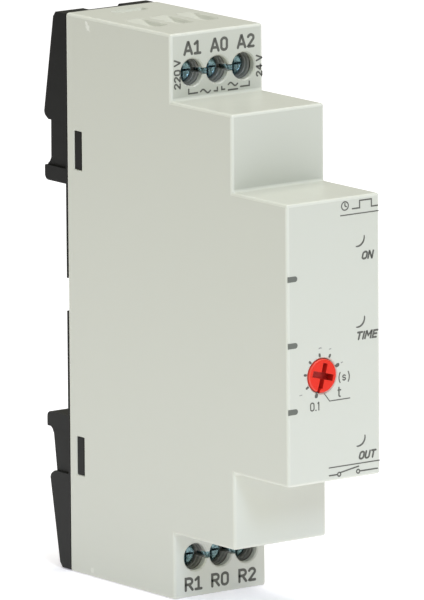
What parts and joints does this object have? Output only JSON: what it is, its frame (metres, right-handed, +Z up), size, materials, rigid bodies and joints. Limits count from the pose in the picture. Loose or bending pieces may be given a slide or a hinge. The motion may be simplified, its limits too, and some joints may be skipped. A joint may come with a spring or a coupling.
{
  "type": "din rail timer",
  "caption": "Slim DIN rail delay timer with a stepped grey housing, black rail base, screw terminals top and bottom, and a red setting dial on the front.",
  "frame": {"origin": "centre of the rail seat, the face of the base that meets the front of the rail", "axes": "+X across the width to the right seen from the front, +Y back towards the rail, +Z up along the height"},
  "size_m": [0.018, 0.0639, 0.09],
  "materials": {
    "housing_grey": "fine satin moulded",
    "base_black": "satin moulded",
    "terminal_black": "satin moulded",
    "plated_steel": "blue zinc plated",
    "tinned_brass": "tinned",
    "spring_steel": "drawn wire",
    "knob_red": "satin moulded",
    "board_green": "solder mask",
    "component_black": "moulded",
    "relay_blue": "moulded",
    "coil_copper": "enamelled wire",
    "magnet_steel": "soft iron",
    "film_yellow": "moulded",
    "can_blue": "sleeved",
    "varistor_blue": "dipped",
    "resistor_tan": "coated",
    "trimmer_cream": "moulded",
    "lamp_green": "cast lens",
    "lamp_yellow": "cast lens",
    "lamp_red": "cast lens"
  },
  "bodies": {
    "housing": {"housing_shell": "housing_grey", "rail_base": "base_black", "latch_spring": "spring_steel", "upper_terminal_block": "terminal_black", "lower_terminal_block": "terminal_black", "trimmer_body": "trimmer_cream", "main_board": "board_green", "display_board": "board_green", "pin_header": "component_black", "lamp_on": "lamp_green", "lamp_time": "lamp_yellow", "lamp_out": "lamp_red", "relay_base": "component_black", "relay_cover": "relay_blue", "relay_coil": "coil_copper", "relay_yoke": "magnet_steel", "resting_contact": "tinned_brass", "working_contact": "tinned_brass", "supply_capacitor": "film_yellow", "smoothing_capacitor": "can_blue", "varistor": "varistor_blue", "bridge_rectifier": "component_black", "timer_chip": "component_black", "fuse_resistor": "resistor_tan", "upper_contact_bar_1": "tinned_brass", "upper_contact_bar_2": "tinned_brass", "upper_contact_bar_3": "tinned_brass", "lower_contact_bar_1": "tinned_brass", "lower_contact_bar_2": "tinned_brass", "lower_contact_bar_3": "tinned_brass"},
    "time_setting": {"time_knob": "knob_red", "trimmer_rotor": "plated_steel"},
    "latch": {"rail_latch": "base_black"},
    "armature": {"relay_armature": "magnet_steel", "contact_leaf": "tinned_brass"},
    "upper_terminal_screw_1": {"upper_screw_1": "plated_steel"},
    "upper_clamp_1": {"upper_cage_1": "plated_steel"},
    "upper_terminal_screw_2": {"upper_screw_2": "plated_steel"},
    "upper_clamp_2": {"upper_cage_2": "plated_steel"},
    "upper_terminal_screw_3": {"upper_screw_3": "plated_steel"},
    "upper_clamp_3": {"upper_cage_3": "plated_steel"},
    "lower_terminal_screw_1": {"lower_screw_1": "plated_steel"},
    "lower_clamp_1": {"lower_cage_1": "plated_steel"},
    "lower_terminal_screw_2": {"lower_screw_2": "plated_steel"},
    "lower_clamp_2": {"lower_cage_2": "plated_steel"},
    "lower_terminal_screw_3": {"lower_screw_3": "plated_steel"},
    "lower_clamp_3": {"lower_cage_3": "plated_steel"}
  },
  "joints": [
    {"name": "time_turn", "type": "hinge", "parent": "housing", "child": "time_setting", "pos_m": [-0.0023, -0.0582, -0.0053], "axis": [0, 1, 0], "range_deg": [0, 225]},
    {"name": "latch_slide", "type": "slide", "parent": "housing", "child": "latch", "axis": [0, 0, -1], "range_m": [0, 0.003], "stiffness_N_per_m": 900, "springref_m": -0.0008, "deforming": ["latch_spring"]},
    {"name": "armature_tilt", "type": "hinge", "parent": "housing", "child": "armature", "pos_m": [-0.0012, -0.0144, -0.0114], "axis": [-1, 0, 0], "range_deg": [0, 5], "stiffness_Nm_per_rad": 0.02, "springref_deg": -2.86},
    {"name": "upper_screw_turn_1", "type": "hinge", "parent": "housing", "child": "upper_terminal_screw_1", "pos_m": [-0.0048, -0.0245, 0.0386], "axis": [0, 1, 0], "range_deg": [0, 1440]},
    {"name": "upper_clamp_slide_1", "type": "slide", "parent": "housing", "child": "upper_clamp_1", "axis": [0, -1, 0], "range_m": [0, 0.002]},
    {"name": "upper_screw_turn_2", "type": "hinge", "parent": "housing", "child": "upper_terminal_screw_2", "pos_m": [0.0002, -0.0245, 0.0386], "axis": [0, 1, 0], "range_deg": [0, 1440]},
    {"name": "upper_clamp_slide_2", "type": "slide", "parent": "housing", "child": "upper_clamp_2", "axis": [0, -1, 0], "range_m": [0, 0.002]},
    {"name": "upper_screw_turn_3", "type": "hinge", "parent": "housing", "child": "upper_terminal_screw_3", "pos_m": [0.0052, -0.0245, 0.0386], "axis": [0, 1, 0], "range_deg": [0, 1440]},
    {"name": "upper_clamp_slide_3", "type": "slide", "parent": "housing", "child": "upper_clamp_3", "axis": [0, -1, 0], "range_m": [0, 0.002]},
    {"name": "lower_screw_turn_1", "type": "hinge", "parent": "housing", "child": "lower_terminal_screw_1", "pos_m": [-0.0048, -0.0245, -0.0386], "axis": [0, 1, 0], "range_deg": [0, 1440]},
    {"name": "lower_clamp_slide_1", "type": "slide", "parent": "housing", "child": "lower_clamp_1", "axis": [0, -1, 0], "range_m": [0, 0.002]},
    {"name": "lower_screw_turn_2", "type": "hinge", "parent": "housing", "child": "lower_terminal_screw_2", "pos_m": [0.0002, -0.0245, -0.0386], "axis": [0, 1, 0], "range_deg": [0, 1440]},
    {"name": "lower_clamp_slide_2", "type": "slide", "parent": "housing", "child": "lower_clamp_2", "axis": [0, -1, 0], "range_m": [0, 0.002]},
    {"name": "lower_screw_turn_3", "type": "hinge", "parent": "housing", "child": "lower_terminal_screw_3", "pos_m": [0.0052, -0.0245, -0.0386], "axis": [0, 1, 0], "range_deg": [0, 1440]},
    {"name": "lower_clamp_slide_3", "type": "slide", "parent": "housing", "child": "lower_clamp_3", "axis": [0, -1, 0], "range_m": [0, 0.002]}
  ],
  "couplings": [
    {"joint": "upper_screw_turn_1", "follows": "upper_clamp_slide_1", "rad_per_m": 12566},
    {"joint": "upper_screw_turn_2", "follows": "upper_clamp_slide_2", "rad_per_m": 12566},
    {"joint": "upper_screw_turn_3", "follows": "upper_clamp_slide_3", "rad_per_m": 12566},
    {"joint": "lower_screw_turn_1", "follows": "lower_clamp_slide_1", "rad_per_m": 12566},
    {"joint": "lower_screw_turn_2", "follows": "lower_clamp_slide_2", "rad_per_m": 12566},
    {"joint": "lower_screw_turn_3", "follows": "lower_clamp_slide_3", "rad_per_m": 12566}
  ]
}
